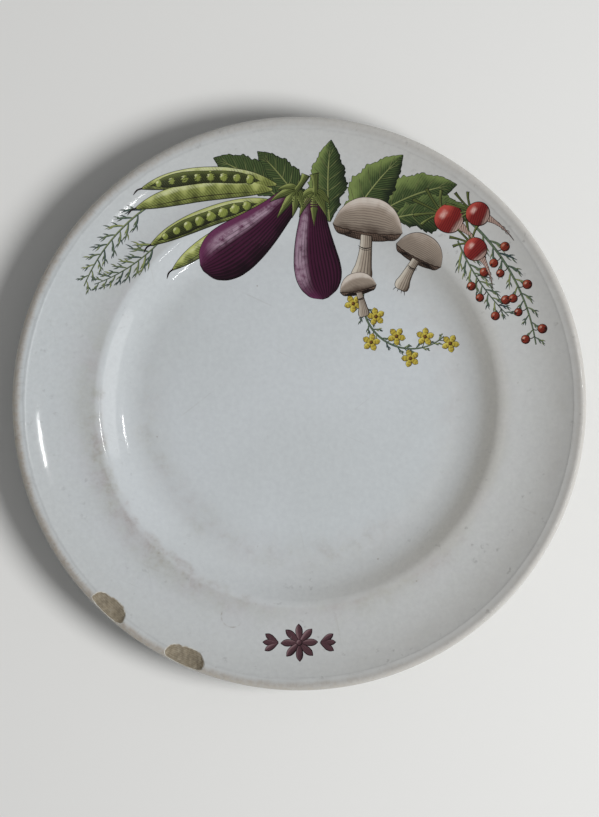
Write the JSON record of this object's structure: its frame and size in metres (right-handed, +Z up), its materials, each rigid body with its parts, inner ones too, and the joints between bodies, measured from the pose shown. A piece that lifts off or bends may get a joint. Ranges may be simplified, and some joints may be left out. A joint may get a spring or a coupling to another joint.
{
  "type": "dinner plate",
  "caption": "Round glazed earthenware dinner plate with a coved well, hollowed rim, raised lip band, foot ring, two lip chips and an enamelled spray of garden produce on the rim.",
  "frame": {"origin": "middle of the foot ring's tread, on the surface that the plate stands on", "axes": "+Z up out of the well, +Y towards the side of the rim that carries the spray, +X to the right as seen from above"},
  "size_m": [0.26, 0.26, 0.0237],
  "materials": {
    "biscuit": "bare fired earthenware, matt and porous",
    "glaze": "glossy clear glaze over a white body, age stained",
    "purple_enamel": "printed line and enamel wash",
    "yellow_green_enamel": "printed line and enamel wash",
    "taupe_enamel": "printed line and enamel wash",
    "dark_green_enamel": "printed line and enamel wash",
    "red_enamel": "printed line and enamel wash",
    "blue_green_enamel": "printed line and enamel wash",
    "yellow_enamel": "printed line and enamel wash",
    "plum_print": "printed line"
  },
  "bodies": {
    "root": {"biscuit_body": "biscuit", "outer_glaze": "glaze", "recess_glaze": "glaze", "aubergine_enamel": "purple_enamel", "pea_pod_enamel": "yellow_green_enamel", "mushroom_enamel": "taupe_enamel", "leaf_enamel": "dark_green_enamel", "radish_enamel": "red_enamel", "currant_enamel": "red_enamel", "frond_enamel": "blue_green_enamel", "flower_enamel": "yellow_enamel", "rosette_enamel": "plum_print"}
  },
  "joints": []
}
